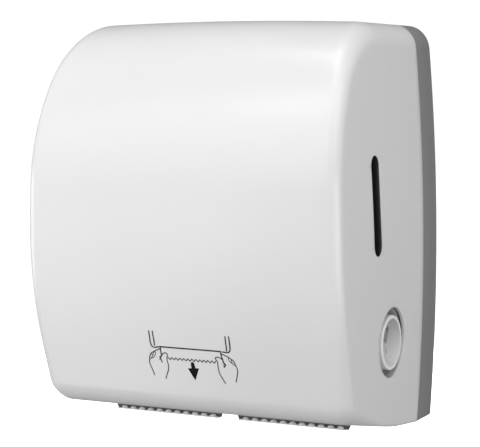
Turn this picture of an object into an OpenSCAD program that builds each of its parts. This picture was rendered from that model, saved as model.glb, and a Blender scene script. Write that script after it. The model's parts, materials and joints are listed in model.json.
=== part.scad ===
// Wall-mounted roll towel dispenser that cuts each towel by itself when it is pulled.
// Millimetres. X runs to the viewer's right, +Y into the wall, +Z up; the front faces -Y.
// The origin is the centre of the four wall-screw holes, on the wall plane.
// Side views are drawn as [depth from the wall, height above the underside].

/* [Case] */
// Width of the case at its fullest height
case_width = 310; // [300:1:320]
// Height of the case
case_height = 380; // [372:1:390]
// Depth from the wall to the fullest part of the front
case_depth = 245; // [238:1:252]
// Depth of the rear case, up to the parting line
parting_depth = 37.5; // [34:0.5:40]
// Gap between the rear case and the cover
parting_gap = 0.5; // [0.4:0.1:0.8]
// Wall thickness of both mouldings
wall = 3; // [2.5:0.1:3.4]

/* [Cover form] */
// Depth of the lower front corner
chin_depth = 210.5; // [204:0.5:216]
// Height of the lower front corner above the underside
chin_rise = 28.6; // [27:0.2:31]
// Radius of the lower front corner
chin_radius = 28; // [28:1:34]
// Depth of the slight bend in the underside
keel_depth = 95; // [88:1:100]
// Height of that bend above the lowest edge
keel_rise = 6.3; // [5:0.1:7.5]
// Height at which the front starts to lean back towards the chin
belly_low = 141; // [130:1:150]
// Height at which the front starts to lean back towards the top
belly_high = 284; // [272:1:296]
// Depth at which the leaning upper front would meet the top
brow_depth = 185; // [176:1:194]
// Largest radius of the soft corners of the front
front_radius = 900; // [400:50:1200]
// How far the sides draw in over half the height
side_bow = 7.7; // [6:0.1:9]
// Height at which the sides are fullest
bow_height = 152; // [145:1:165]
// Fall of the top from its middle to its sides
top_crown = 3; // [1.5:0.1:4]
// Edge radius between the underside and the sides
chin_fillet = 3; // [2.6:0.1:4]
// Extra edge radius at the ends of the lower front corner
chin_swell = 16; // [8:1:16]
// Distance from that corner at which the extra radius ends
chin_fade = 80; // [60:1:92]
// Edge radius between the front and the sides
front_fillet = 10; // [7:0.5:14]
// Edge radius between the top and the sides
top_fillet = 21; // [16:0.5:24]

/* [Window] */
// Depth of the window's middle
window_depth = 156.5; // [150:0.5:164]
// Height of the window's middle
window_height = 215; // [205:1:225]
// Length of the window
window_length = 90; // [82:1:96]
// Width of the window
window_width = 19; // [14:0.5:20]
// Forward lean of the window
window_lean = 3.8; // [0:0.1:6]
// Border of the lens round the window
lens_border = 5; // [3:0.5:8]
// Thickness of the lens
lens_thickness = 2; // [1.5:0.1:3]
// Depth of the lens's raised middle below the outside of the wall
lens_drop = 0.15; // [0.1:0.05:0.6]

/* [Feed wheel] */
// Radius of the recess in the cover's side
recess_radius = 32.3; // [31.5:0.1:33.5]
// Radius of the feed wheel
wheel_radius = 25; // [23:0.5:26]
// How far the wheel's face lies behind the middle of the recess
wheel_inset = 0.3; // [0:0.1:1.5]
// Depth of the wheel's hollow face
wheel_dish = 5.5; // [4:0.1:6.5]
// Width of the wheel's flat rim
wheel_rim = 3; // [2:0.1:4]
// Radius of the finger scoop
scoop_radius = 5; // [4:0.1:6]
// Length of the finger scoop between its round ends
scoop_length = 7; // [5:0.5:9]
// Depth of the finger scoop
scoop_depth = 3; // [2:0.1:3.5]
// Depth of the cup behind the cover
cup_depth = 8.4; // [8:0.1:9.2]
// Width of the cup's floor round the wheel
cup_channel = 4; // [3:0.1:4.5]
// Step inwards from the recess to the cup's mouth
cup_step = 1.3; // [1:0.1:1.6]
// Thickness of the cup
cup_wall = 2; // [1.6:0.1:2.4]
// Width of the cup's flange behind the cover
cup_flange = 4; // [3:0.5:5]
// Radius of the wheel's spindle
spindle_radius = 5; // [4.6:0.1:5.5]
// Thickness of the dog on the spindle's end
dog_thickness = 2.4; // [2:0.1:3]
// Length of the dog
dog_length = 5; // [4:0.5:6]

/* [Drum] */
// Depth of the drum's axis
drum_depth = 116.5; // [113:0.5:120]
// Height of the drum's axis
drum_height = 88.5; // [86:0.5:91]
// Outer radius of the drum
drum_radius = 40; // [38:0.5:41]
// Thickness of the drum's wall
drum_wall = 3; // [2.5:0.1:3.5]
// Gap between the drum and a cheek
drum_gap = 5; // [4:0.5:7]
// Thickness of the drum's end caps
cap_thickness = 4; // [3:0.5:5]
// Radius of the drum's shaft
shaft_radius = 6; // [5.6:0.1:6.4]
// Number of grip bands
band_count = 4; // [2:1:6]
// Width of a grip band
band_width = 14; // [10:1:20]
// Depth of a grip band's groove
band_depth = 1.4; // [1:0.1:1.8]
// How far a grip band stands proud of the drum
band_proud = 0.25; // [0.1:0.05:0.4]

/* [Cutter] */
// Direction of the blade's slot, up from straight forward
blade_angle = -20; // [-26:1:-16]
// Distance from an end of the blade to the drum's end
blade_inset = 8; // [7:0.5:11]
// Thickness of the blade
blade_thickness = 0.8; // [0.6:0.1:1]
// How far the blade slides out
blade_travel = 8; // [6:0.5:9]
// Spacing of the blade's teeth
tooth_pitch = 5; // [4:0.5:8]
// Height of the blade's teeth
tooth_height = 3; // [2:0.1:4]
// Depth of the teeth below the drum's surface at rest
tooth_sink = 1.4; // [1:0.1:2]
// Thickness of the blade carrier
carrier_thickness = 5; // [4:0.5:6]
// Inner edge of the blade carrier, from the drum's axis
carrier_inner = 14; // [12:0.5:15]
// Width of the blade carrier along the slot
carrier_width = 14; // [12:0.5:14.5]

/* [Pinch roller] */
// Direction of the roller from the drum, up from straight forward
roller_angle = 130; // [124:1:134]
// Radius of the roller
roller_radius = 11; // [9:0.5:12]
// Radius of the roller's hard core
roller_core_radius = 8; // [7:0.5:8.5]
// Number of rubber tyres
tyre_count = 3; // [2:1:5]
// Width of a rubber tyre
tyre_width = 40; // [30:1:42]
// Radius of the roller's axle
axle_radius = 3; // [2.5:0.1:3.5]

/* [Chassis] */
// Space from the case's side to the inside of a cheek
cheek_margin = 42; // [41.5:0.5:43]
// Thickness of a cheek
cheek_thickness = 5; // [4:0.5:6]
// Radius of a cheek round the drum's axis
cheek_radius = 57; // [55:0.5:59]
// Lowest point of a cheek's back edge
cheek_low = 52; // [50:1:56]
// Highest point of a cheek's back edge
cheek_high = 140; // [136:1:144]
// Outer radius of a drum bush
bush_radius = 10; // [9:0.5:11]
// Radius of the one-way clutch
clutch_radius = 12; // [11.5:0.1:12.5]
// Length of the one-way clutch
clutch_length = 7; // [6:0.5:8.5]
// Inner radius of the towel guides
guide_radius = 52; // [50:0.5:53]
// Thickness of the towel guides
guide_thickness = 2.5; // [2:0.1:3]
// Radius of a tie rod
tie_radius = 4; // [3:0.5:5]
// Width of the foot that fixes a cheek or arm to the case
foot_width = 14; // [13:0.5:16]
// Thickness of a foot
foot_thickness = 3; // [2.5:0.1:4]
// Radius of a fixing screw's shank
screw_radius = 1.6; // [1.4:0.1:2]

/* [Spring drive] */
// Depth of the spring's fixed post
post_depth = 74; // [70:1:78]
// Height of the spring's fixed post
post_height = 166; // [160:1:172]
// Throw of the crank
crank_throw = 15; // [13:0.5:16]
// Radius of the crank disc
crank_radius = 21; // [20:0.5:22]
// Radius of the crank pin and of the post
post_radius = 3; // [2.5:0.1:3.2]
// Radius of the housing round the crank
housing_radius = 28; // [27:0.5:30]
// Radius of the housing round the post
housing_tip = 13; // [12:0.5:14]
// Outward depth of the housing
housing_depth = 24; // [23:0.5:25]
// Wall thickness of the housing
housing_wall = 2.4; // [2:0.1:2.8]
// Mean radius of the spring's coils
coil_radius = 5; // [4.5:0.1:5.5]
// Wire radius of the spring
wire_radius = 0.8; // [0.6:0.1:0.9]
// Number of coils
coil_count = 12; // [8:1:14]

/* [Roll holder] */
// Depth of the roll's axis
roll_depth = 122; // [118:1:126]
// Height of the roll's axis
roll_height = 245; // [240:1:250]
// Space from the case's side to the end of the towel roll
roll_margin = 50; // [49.5:0.5:52]
// Gap between the roll and an arm
roll_gap = 2.5; // [2.4:0.1:3]
// Thickness of an arm
arm_thickness = 4.5; // [4:0.5:5]
// Radius of an arm's rounded end
arm_end = 19; // [17:0.5:22]
// Height of an arm at the case
arm_root = 44; // [38:1:50]
// Radius of a hub's plug
hub_radius = 18.5; // [17:0.5:19]
// Length of a hub's plug
hub_length = 14; // [12:0.5:16]
// Radius of a hub's flange
hub_flange = 24; // [22:0.5:26]
// Radius of the pin that a hub turns on
hub_pin = 5; // [4.5:0.1:6]
// Depth of the swinging arm's pivot
pivot_depth = 14; // [12:0.5:16]
// Radius of the swinging arm's barrel
pivot_barrel = 6; // [5.5:0.1:7]
// Radius of the swinging arm's pin
pivot_pin = 3; // [2.5:0.1:3.5]

/* [Cover hinge] */
// Depth of the hinge axis
hinge_depth = 18; // [17:0.5:20]
// Height of the hinge axis
hinge_height = 5.5; // [5.2:0.1:6]
// Radius of a hinge pin
hinge_pin = 2.5; // [2:0.1:2.8]
// Radius of the eye round a hinge pin
hinge_eye = 5; // [4.5:0.1:5.1]
// Space from the case's side to the inside of a hinge arm
hinge_margin = 29; // [27:0.5:33]
// Width of a hinge arm
hinge_width = 8; // [6:0.5:9]
// Thickness of an ear of the case beside a hinge arm
ear_thickness = 3.5; // [3:0.5:4]
// Length of a hinge arm inside the cover
hinge_reach = 40; // [30:1:46]

/* [Lock] */
// Depth of the lock's axis
lock_depth = 62; // [58:1:68]
// Radius of the turning barrel
barrel_radius = 6; // [5:0.1:6.5]
// Radius of the lock's body
lock_radius = 8; // [7.6:0.1:9]
// Radius of the lock's nut flange under the top
lock_flange = 11; // [10:0.5:12]
// Length of the lock's body
lock_length = 21; // [19:0.5:23]
// Reach of the cam from the lock's axis
cam_reach = 30; // [29:0.5:30.5]
// Width of the cam
cam_width = 12; // [10:0.5:12]
// Thickness of the cam
cam_thickness = 3; // [2:0.5:3.5]
// Length of the hook on the cam's end
hook_length = 8; // [7:0.5:9]
// Width of the hook along the cam
hook_width = 4; // [3:0.5:4]

/* [Exit] */
// Space from the case's side to the towel exit
exit_margin = 37; // [35:1:42]
// Depth of the exit's rear edge
exit_rear = 92; // [88:1:96]
// Depth of the exit's front edge
exit_front = 130; // [126:1:132]
// Depth of the combs' middle
comb_depth = 137; // [136:0.5:140]
// Space from the case's side to the outer end of a comb
comb_margin = 32.5; // [31:0.5:36]
// Inner end of a comb, from the middle
comb_inner = 7.5; // [5:0.5:9]
// Height of a comb
comb_height = 4.2; // [3.6:0.1:6]
// Height of the ledge along a comb's foot
comb_ledge = 1.1; // [0.8:0.1:1.6]
// Thickness of a comb's back plate
comb_plate = 2.5; // [2:0.1:3]
// How far the ends of a comb lean in
comb_slant = 2.7; // [1:0.1:4]
// Number of posts on a comb
comb_posts = 11; // [6:1:13]
// Radius of a comb's post
comb_post_radius = 2.75; // [2:0.05:3.2]

/* [Wall fixing] */
// Distance of the wall screws from the case's sides
screw_margin_x = 30; // [28:0.5:33]
// Distance of the wall screws from the case's top and underside
screw_margin_z = 40; // [38:1:45]
// Radius of a wall-screw hole
wall_hole = 2.75; // [2.2:0.05:3.2]
// Radius of the boss round a wall-screw hole
boss_radius = 8; // [7:0.5:9]
// Height of the boss above the back plate
boss_height = 6; // [4:0.5:8]
// Thickness of the ribs on the back plate
rib_thickness = 2; // [1.6:0.1:2.6]
// Height of the ribs
rib_height = 5; // [3:0.5:6]
// Thickness of the lip that the cover seats over
lip_thickness = 1.6; // [1.2:0.1:2]
// How far the lip stands past the parting line
lip_reach = 4; // [3:0.5:5]

/* [Hidden] */
$fn = 64;

// Clearances: running in a bearing, fixed in a bore, and beside a neighbour
running = 0.05;
fixed = 0.03;
beside = 0.3;
// Overlap that joins the shapes of one moulding, and overshoot of a cut
join = 0.5;
past = 1;
// Largest turn between two facets of the cover
facet_turn = 6;
// Steps of the cover's edge fillets, and of its width between them
fillet_steps = 6;
width_steps = 4;

// Details of the cover and its cup
keel_radius = 300;
least_fillet = 0.3;
edge_break = 0.6;
sleeve_length = 4;
sleeve_wall = 3;
clip_thickness = 1.2;
clip_groove = 1;
clip_reach = 3;
spindle_land = 1;
scoop_forward = 4;
scoop_up = 7;

// Details of the chassis
root_strip = 2;
axle_wall = 8;
tie_upper_depth = 46;
tie_upper_drop = 10;
tie_lower_depth = 60;
tie_lower_height = 44;
tie_socket = 6;
tie_wall = 3;
tie_cover = 2;
clutch_wall = 4;
bush_rim = 4;
foot_inset = 12;
screw_head_height = 2.4;
screw_cover = 0.8;

// Arcs of the towel guides, up from straight forward
rear_guide_from = 165;
rear_guide_sweep = 68;
front_guide_from = -52;
front_guide_sweep = 44;

// Details of the crank and spring
crank_gap = 3;
crank_thickness = 4;
spring_offset = 5;
pin_past = 4;
post_wall = 11;
shaft_gap = 8;
spring_lead = 5;
loop_from = 80;
loop_sweep = 280;

// Details of the drum and roller
band_spread = 0.94;
band_break = 10;
slot_side = 2;
slot_end = 2.5;
cap_holes = 5;
cap_hole_radius = 6;
cap_hole_place = 24;
roller_gap = 4;
roller_boss = 2;

// Details of the roll holder
pivot_offset = 1;
pivot_ear = 7;
arm_screw_rise = 14;
hub_floor = 2;
hub_taper = 3;
flute_count = 6;
flute_radius = 2;

// Details of the rear case
rib_inset = 20;
lip_root = 8;
slot_room = 2;
catch_thickness = 4;
catch_drop = 3;
catch_play = 1;
pocket_depth = 1.2;
pocket_inner = 45;
pocket_outer = 105;
pocket_height = 200;

// Details of the hinge arms and the lock
hinge_lead = 1.5;
hinge_arm_thickness = 5;
hinge_root = 2;
lock_proud = 0.4;
lock_flange_height = 5;
cam_gap = 1;
stud_radius = 3;
nut_height = 3;
nut_radius = 6;
key_width = 1.6;
key_length = 8;
key_depth = 5;

bottom = -case_height / 2;
half_width = case_width / 2;
half_height = case_height / 2;

// Cover form
function unit(v) = v / norm(v);
function turned(v, a) = [v.x * cos(a) - v.y * sin(a), v.x * sin(a) + v.y * cos(a)];

// One rounded corner of the side view, as [depth, height, outward normal];
// its radius is limited by the share of each side that it may take
function corner(before, at, after, radius, share_before, share_after) =
    let (u = unit(before - at),
         v = unit(after - at),
         half = acos(u * v) / 2,
         most = min(share_before * norm(before - at), share_after * norm(after - at)),
         run = min(radius / tan(half), most),
         r = run * tan(half),
         centre = at + unit(u + v) * r / sin(half),
         start = at + u * run - centre,
         turn = 180 - 2 * half,
         steps = ceil(turn / facet_turn))
    [for (k = [0:steps])
        let (q = turned(start, turn * k / steps))
        [centre.x + q.x, centre.y + q.y, q.x / r, q.y / r]];

chin_rear = [parting_depth, 0];
keel = [keel_depth, keel_rise];
chin = [chin_depth, chin_rise];
belly = [case_depth, belly_low];
brow = [case_depth, belly_high];
crest = [brow_depth, case_height];
crest_rear = [parting_depth, case_height];
// Share of a side that one of its two corners may take
shared = 0.49;
alone = 0.9;
under = unit(keel - chin);
fade = chin + under * chin_fade;
rows = concat(
    [[chin_rear.x, chin_rear.y, 0, -1]],
    corner(chin_rear, keel, chin, keel_radius, alone, shared),
    [[fade.x, fade.y, -under.y, under.x]],
    corner(keel, chin, belly, chin_radius, shared, shared),
    corner(chin, belly, brow, front_radius, shared, shared),
    corner(belly, brow, crest, front_radius, shared, shared),
    corner(brow, crest, crest_rear, front_radius, shared, alone),
    [[crest_rear.x, crest_rear.y, 0, 1]]);
row_count = len(rows);

// Columns across the cover, as [share of the flat width, fillet angle]
columns = concat(
    [for (k = [0:fillet_steps]) [-1, 90 - 90 * k / fillet_steps]],
    [for (k = [1:width_steps - 1]) [2 * k / width_steps - 1, 0]],
    [for (k = [0:fillet_steps]) [1, 90 * k / fillet_steps]]);
column_count = len(columns);

// Edge radius along one row: it changes as the surface turns up or down, and swells at the chin's ends
function edge_radius(row) = let (turn = pow(row[3], 2)) row[3] > 0
    ? front_fillet + (top_fillet - front_fillet) * turn
    : front_fillet - (front_fillet - chin_fillet) * turn
        + chin_swell * turn * max(0, 1 - norm([row[0], row[1]] - chin) / chin_fade);

// Draws the sides in and lowers the edges of the top
function bow(height) = 1 - side_bow / half_width * pow((height - bow_height) / half_height, 2);
function crown(x, height) = top_crown * pow(x / half_width, 2) * max(0, height - half_height) / half_height;
function formed(x, depth, height) = [x * bow(height), -depth, bottom + height - crown(x, height)];
function side_x(height, inset) = (half_width - inset) * bow(height);

// One point of the cover's skin, inset from the outside
function skin(row, column, inset) =
    let (r = max(edge_radius(row) - inset, least_fillet),
         back = r * (1 - cos(column[1])) + inset,
         x = column[0] * (half_width - inset - r) + sign(column[0]) * r * sin(column[1]))
    formed(x, row[0] - row[2] * back, row[1] - row[3] * back);
function side_height(row) = row[1] - row[3] * edge_radius(row);
function skin_points(inset) = concat(
    [for (row = rows, column = columns) skin(row, column, inset)],
    [for (side = [1, -1], k = [1:row_count - 2])
        formed(side * (half_width - inset), parting_depth, side_height(rows[k]))]);

// Indices of the skin's points: on the grid, and on the parting line beside the last or first column
skin_size = row_count * column_count + 2 * (row_count - 2);
function on_grid(s, i, j) = s * skin_size + i * column_count + j;
function on_side(s, i, right) = i == 0 || i == row_count - 1
    ? on_grid(s, i, right ? column_count - 1 : 0)
    : s * skin_size + row_count * column_count + (right ? 0 : row_count - 2) + i - 1;
function rim(s) = concat(
    [for (j = [0:column_count - 1]) on_grid(s, 0, j)],
    [for (i = [1:row_count - 2]) on_side(s, i, true)],
    [for (j = [column_count - 1:-1:0]) on_grid(s, row_count - 1, j)],
    [for (i = [row_count - 2:-1:1]) on_side(s, i, false)]);
// Two triangles of a four-sided patch, turned over for the inner skin
function patch(a, b, c, d, over) = over ? [[c, b, a], [d, c, a]] : [[a, b, c], [a, c, d]];
function skin_faces(s) = concat(
    [for (i = [0:row_count - 2], j = [0:column_count - 2])
        let (a = on_grid(s, i, j), b = on_grid(s, i + 1, j))
        each patch(a, b, b + 1, a + 1, s == 1)],
    [for (i = [0:row_count - 2], right = [true, false])
        let (front = right ? column_count - 1 : 0,
             a = on_grid(s, i, front),
             b = on_grid(s, i + 1, front),
             c = on_side(s, i + 1, right),
             d = on_side(s, i, right),
             over = right == (s == 1))
        each [for (t = patch(a, b, c, d, over)) if (t[0] != t[1] && t[1] != t[2] && t[0] != t[2]) t]]);
function rim_faces() = let (o = rim(0), i = rim(1), n = len(o))
    [for (k = [0:n - 1]) each patch(o[k], o[(k + 1) % n], i[(k + 1) % n], i[k], false)];

// Outline of the case at the parting line, inset from the outside, as [x, height]
function case_outline(inset) = let (p = skin_points(inset)) [for (k = rim(0)) [p[k].x, p[k].z]];
// Height of the cover's inside floor
function floor_height(depth) = wall + (depth < keel_depth
    ? keel_rise * (depth - parting_depth) / (keel_depth - parting_depth)
    : keel_rise + (chin_rise - keel_rise) * (depth - keel_depth) / (chin_depth - keel_depth));

// Places derived from the sizes above
cheek_in = half_width - cheek_margin;
cheek_out = cheek_in + cheek_thickness;
drum_half = cheek_in - drum_gap;
blade_length = 2 * (drum_half - blade_inset);
grip_radius = drum_radius + band_proud;
nip = grip_radius + beside + roller_radius;
roller_depth = drum_depth + nip * cos(roller_angle);
roller_height = drum_height + nip * sin(roller_angle);
clutch_end = cheek_out + clutch_length;
hinge_inner = half_width - hinge_margin;
hinge_outer = hinge_inner + hinge_width;
dog_radius = norm([drum_depth - hinge_depth, drum_height - hinge_height]);
cover_sweep = norm([parting_depth - parting_gap - hinge_depth, hinge_height]) + beside;
case_front = parting_depth - parting_gap;
exit_half = half_width - exit_margin;

// Feed wheel, from the cover's side inwards
wheel_face = side_x(drum_height, 0) - wheel_inset;
wheel_hollow = wheel_face - wheel_dish;
cup_seat = side_x(drum_height - recess_radius - cup_flange, wall) - beside;
cup_floor = cup_seat - cup_depth;
cup_back = cup_floor - cup_wall;
wheel_back = cup_floor + beside;
sleeve_end = cup_back - sleeve_length;
clip_end = sleeve_end - beside - clip_thickness;
land_end = clip_end - spindle_land;
spindle_end = land_end - dog_length;
shaft_end = land_end - beside;
shaft_start = -cheek_out - housing_depth + housing_wall + shaft_gap;

// Crank and spring
post_run = norm([post_depth - drum_depth, post_height - drum_height]);
post_angle = atan2(post_height - drum_height, post_depth - drum_depth);
crank_face = -cheek_out - crank_gap;
crank_back = crank_face - crank_thickness;
spring_x = crank_back - spring_offset;

// Roll holder
roll_half = half_width - roll_margin;
arm_in = roll_half + roll_gap;
arm_out = arm_in + arm_thickness;
hub_face = roll_half + beside;
hub_tip = hub_face - hub_length + hub_floor;
pivot_x = arm_out + pivot_offset;
pivot_low = roll_height - arm_root / 2;
pivot_high = roll_height + arm_root / 2;

// Lock
lock_top = case_height + lock_proud;
lock_bottom = lock_top - lock_length;
lock_seat = case_height - wall - beside;
cam_top = lock_bottom - cam_gap;
cam_bottom = cam_top - cam_thickness;

// Screws that hold the chassis and the fixed arm to the back plate
screw_head = 2 * screw_radius;
foot_middle = foot_width / 2;
screw_places = concat(
    [for (side = [-1, 1], z = [cheek_low + foot_inset, cheek_high - foot_inset])
        [side * (cheek_out + foot_middle), z]],
    [for (end = [-1, 1]) [-arm_out - foot_middle, roll_height + end * arm_screw_rise]]);

// Solids drawn in the side view and run across from x0 to x1
module across(x0, x1) {
    translate([x1, 0, bottom]) rotate([90, 0, -90]) linear_extrude(height = x1 - x0) children();
}

// Round bar or bore across at a depth and height
module bar(x0, x1, depth, height, r) {
    across(x0, x1) translate([depth, height]) circle(r = r);
}

// Round bar or bore on the right side, or its mirror image on the left
module side_bar(side, x0, x1, depth, height, r) {
    bar(min(side * x0, side * x1), max(side * x0, side * x1), depth, height, r);
}

// Turned piece about an axis across; its outline is [radius, x]
module turned_across(depth, height) {
    translate([0, -depth, bottom + height]) rotate([0, 90, 0]) rotate_extrude() children();
}

// Upright round bar or bore in the middle of the case
module upright(depth, low, high, r) {
    translate([0, -depth, bottom + low]) cylinder(h = high - low, r = r);
}

// Part of a tube about the drum's axis, between two angles up from straight forward
module drum_arc(x0, x1, inner, outer, from, sweep) {
    translate([x1, -drum_depth, bottom + drum_height]) rotate([90, 0, -90]) rotate([0, 0, from])
        rotate_extrude(angle = sweep, $fn = 96) translate([inner, 0]) square([outer - inner, x1 - x0]);
}

// Frame on the drum's axis whose +X points along the blade's slot
module along_blade() {
    translate([0, -drum_depth, bottom + drum_height]) rotate([90, 0, -90]) rotate([0, 0, blade_angle])
        children();
}

// Sides of the back plate's foot and of the screws through it
module foot_plate(x0, x1, low, high) {
    translate([x0, -wall - foot_thickness, bottom + low]) cube([x1 - x0, foot_thickness, high - low]);
}

module screw_bores(from, to, r) {
    for (p = screw_places) translate([p.x, -from, bottom + p.y]) rotate([90, 0, 0])
        cylinder(h = to - from, r = r);
}

module case_prism(from, to, inset) {
    translate([0, -from, 0]) rotate([90, 0, 0]) linear_extrude(height = to - from)
        polygon(case_outline(inset));
}

// Rear case
module at_wall_screws() {
    for (x = [-1, 1], z = [-1, 1])
        translate([x * (half_width - screw_margin_x), 0, z * (half_height - screw_margin_z)])
            rotate([90, 0, 0]) children();
}

module wall_bosses() {
    at_wall_screws() translate([0, 0, wall - join]) cylinder(h = boss_height + join, r = boss_radius);
}

module wall_holes() {
    at_wall_screws() translate([0, 0, -past]) cylinder(h = wall + boss_height + 2 * past, r = wall_hole);
}

module back_pockets() {
    for (side = [-1, 1])
        translate([min(side * pocket_inner, side * pocket_outer), -pocket_depth, -pocket_height / 2])
            cube([pocket_outer - pocket_inner, pocket_depth + past, pocket_height]);
}

module back_ribs() {
    rib_x = arm_in - foot_width - rib_inset;
    for (x = [-rib_x, 0, rib_x])
        translate([x - rib_thickness / 2, -wall - rib_height, bottom + wall])
            cube([rib_thickness, rib_height + join, case_height - 2 * wall]);
    for (z = [cheek_low, roll_height - arm_root])
        translate([-rib_x, -wall - rib_height, bottom + z])
            cube([2 * rib_x, rib_height + join, rib_thickness]);
}

module seat_lip() {
    difference() {
        union() {
            case_prism(case_front - lip_root, case_front, wall - join);
            case_prism(case_front - join, case_front + lip_reach, wall + beside);
        }
        case_prism(case_front - lip_root - past, case_front + lip_reach + past,
            wall + beside + lip_thickness);
        translate([-case_width, -case_depth, bottom - past])
            cube([2 * case_width, case_depth, chin_rise]);
    }
}

module lock_catch() {
    face = lock_depth - cam_reach + hook_width + catch_play;
    low = cam_bottom - catch_drop;
    translate([-cam_width / 2 - hook_length - catch_play, -face - catch_thickness, bottom + low])
        cube([hook_length - catch_play, catch_thickness, lock_seat - lip_thickness / 2 - low]);
}

module hinge_ear(x) {
    top = hinge_height + hinge_eye;
    across(x, x + ear_thickness) {
        translate([hinge_depth, hinge_height]) circle(r = hinge_eye);
        translate([wall - join, wall - join]) square([hinge_depth - wall + join, top - wall + join]);
    }
}

module hinge_ears() {
    for (x = [hinge_inner - ear_thickness - beside, hinge_outer + beside]) {
        hinge_ear(x);
        hinge_ear(-x - ear_thickness);
    }
}

module pivot_ears() {
    for (z = [pivot_low - beside - pivot_ear, pivot_high + beside])
        translate([0, 0, bottom + z]) linear_extrude(height = pivot_ear) {
            translate([pivot_x, -pivot_depth]) circle(r = pivot_barrel);
            translate([pivot_x - pivot_barrel, -pivot_depth])
                square([2 * pivot_barrel, pivot_depth - wall + join]);
        }
}

module rear_case() {
    color("dimgray")
    difference() {
        union() {
            difference() {
                case_prism(0, case_front, 0);
                case_prism(wall, case_front + past, wall);
            }
            wall_bosses();
            back_ribs();
            seat_lip();
            lock_catch();
            hinge_ears();
            pivot_ears();
        }
        wall_holes();
        back_pockets();
        screw_bores(screw_cover, wall + past, screw_radius + fixed);
        for (side = [-1, 1]) {
            low = min(side * hinge_inner, side * hinge_outer) - beside;
            room = hinge_width + 2 * beside;
            translate([low, -case_front - past, bottom - past])
                cube([room, case_front - hinge_depth + hinge_eye + slot_room + past, wall + 2 * past]);
            bar(low - ear_thickness - past, low + room + ear_thickness + past,
                hinge_depth, hinge_height, hinge_pin + fixed);
        }
        translate([pivot_x, -pivot_depth, bottom + pivot_low - pivot_ear - past])
            cylinder(h = arm_root + 2 * pivot_ear + 2 * past, r = pivot_pin + fixed);
    }
}

module hinge_pins() {
    color("silver")
    for (side = [-1, 1])
        side_bar(side, hinge_inner - ear_thickness - beside, hinge_outer + ear_thickness + beside,
            hinge_depth, hinge_height, hinge_pin);
}

module arm_pin() {
    color("silver") translate([pivot_x, -pivot_depth, bottom + pivot_low - beside - pivot_ear])
        cylinder(h = arm_root + 2 * (beside + pivot_ear), r = pivot_pin);
}

module fixing_screws() {
    seat = wall + foot_thickness;
    color("silver") {
        screw_bores(screw_cover + beside, seat + join, screw_radius);
        screw_bores(seat, seat + screw_head_height, screw_head);
    }
}

// Chassis cheeks
module cheek_outline(side) {
    hull() {
        translate([drum_depth, drum_height]) circle(r = cheek_radius);
        translate([wall, cheek_low]) square([root_strip, cheek_high - cheek_low]);
        translate([roller_depth, roller_height]) circle(r = axle_radius + axle_wall);
        if (side < 0) translate([post_depth, post_height]) circle(r = post_radius + post_wall);
    }
}

tie_places = [[tie_upper_depth, cheek_high - tie_upper_drop], [tie_lower_depth, tie_lower_height]];

module cheek(side) {
    a = min(side * cheek_in, side * cheek_out);
    foot = min(side * cheek_in, side * (cheek_out + foot_width));
    difference() {
        union() {
            across(a, a + cheek_thickness) cheek_outline(side);
            foot_plate(foot, foot + cheek_thickness + foot_width, cheek_low, cheek_high);
            for (p = tie_places)
                side_bar(side, cheek_in - tie_socket, cheek_out, p.x, p.y, tie_radius + tie_wall);
            children();
        }
        bar(a - past, a + cheek_thickness + past, drum_depth, drum_height, bush_radius + fixed);
        bar(a - past, a + cheek_thickness + past, roller_depth, roller_height, axle_radius + fixed);
        for (p = tie_places)
            side_bar(side, cheek_in - tie_socket - past, cheek_out - tie_cover,
                p.x, p.y, tie_radius + fixed);
        screw_bores(wall - past, wall + foot_thickness + past, screw_radius + fixed);
    }
}

module cheek_left() {
    color("whitesmoke") cheek(-1)
        bar(spring_x - pin_past, -cheek_out + join, post_depth, post_height, post_radius);
}

module cheek_right() {
    color("whitesmoke") difference() {
        cheek(1) bar(cheek_out - join, clutch_end, drum_depth, drum_height, clutch_radius + clutch_wall);
        bar(cheek_out, clutch_end + past, drum_depth, drum_height, clutch_radius + fixed);
        bar(cheek_in - past, clutch_end, drum_depth, drum_height, bush_radius + fixed);
    }
}

module bush(side) {
    inner = drum_half + beside;
    translate([0, -drum_depth, bottom + drum_height]) rotate([0, 90 * side, 0]) difference() {
        union() {
            translate([0, 0, inner]) cylinder(h = cheek_in - beside - inner, r = bush_radius + bush_rim);
            translate([0, 0, inner]) cylinder(h = cheek_out - inner, r = bush_radius);
        }
        cylinder(h = cheek_out + past, r = shaft_radius + running);
    }
}

module bush_left() { color("goldenrod") bush(-1); }

module bush_right() { color("goldenrod") bush(1); }

module one_way_clutch() {
    color("slategray") difference() {
        bar(cheek_out + beside, clutch_end, drum_depth, drum_height, clutch_radius);
        bar(cheek_out, clutch_end + past, drum_depth, drum_height, shaft_radius + running);
    }
}

module tie_rods() {
    reach = cheek_out - tie_cover;
    color("silver") for (p = tie_places) bar(-reach, reach, p.x, p.y, tie_radius);
}

module guide(from, sweep) {
    drum_arc(-cheek_in, cheek_in, guide_radius, guide_radius + guide_thickness, from, sweep);
}

module rear_guide() { color("gainsboro") guide(rear_guide_from, rear_guide_sweep); }

module front_guide() { color("gainsboro") guide(front_guide_from, front_guide_sweep); }

// Spring drive
module housing_outline(inset) {
    hull() {
        translate([drum_depth, drum_height]) circle(r = housing_radius - inset);
        translate([post_depth, post_height]) circle(r = housing_tip - inset);
    }
}

module drive_housing() {
    outer = -cheek_out - housing_depth;
    color("gainsboro") difference() {
        across(outer, -cheek_out) housing_outline(0);
        across(outer + housing_wall, -cheek_out + past) housing_outline(housing_wall);
    }
}

module crank_disc() {
    pin_depth = drum_depth + crank_throw * cos(post_angle);
    pin_height = drum_height + crank_throw * sin(post_angle);
    color("whitesmoke") difference() {
        union() {
            bar(crank_back, crank_face, drum_depth, drum_height, crank_radius);
            bar(spring_x - pin_past, crank_back + join, pin_depth, pin_height, post_radius);
        }
        bar(crank_back - past, crank_face + past, drum_depth, drum_height, shaft_radius + fixed);
    }
}

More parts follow.
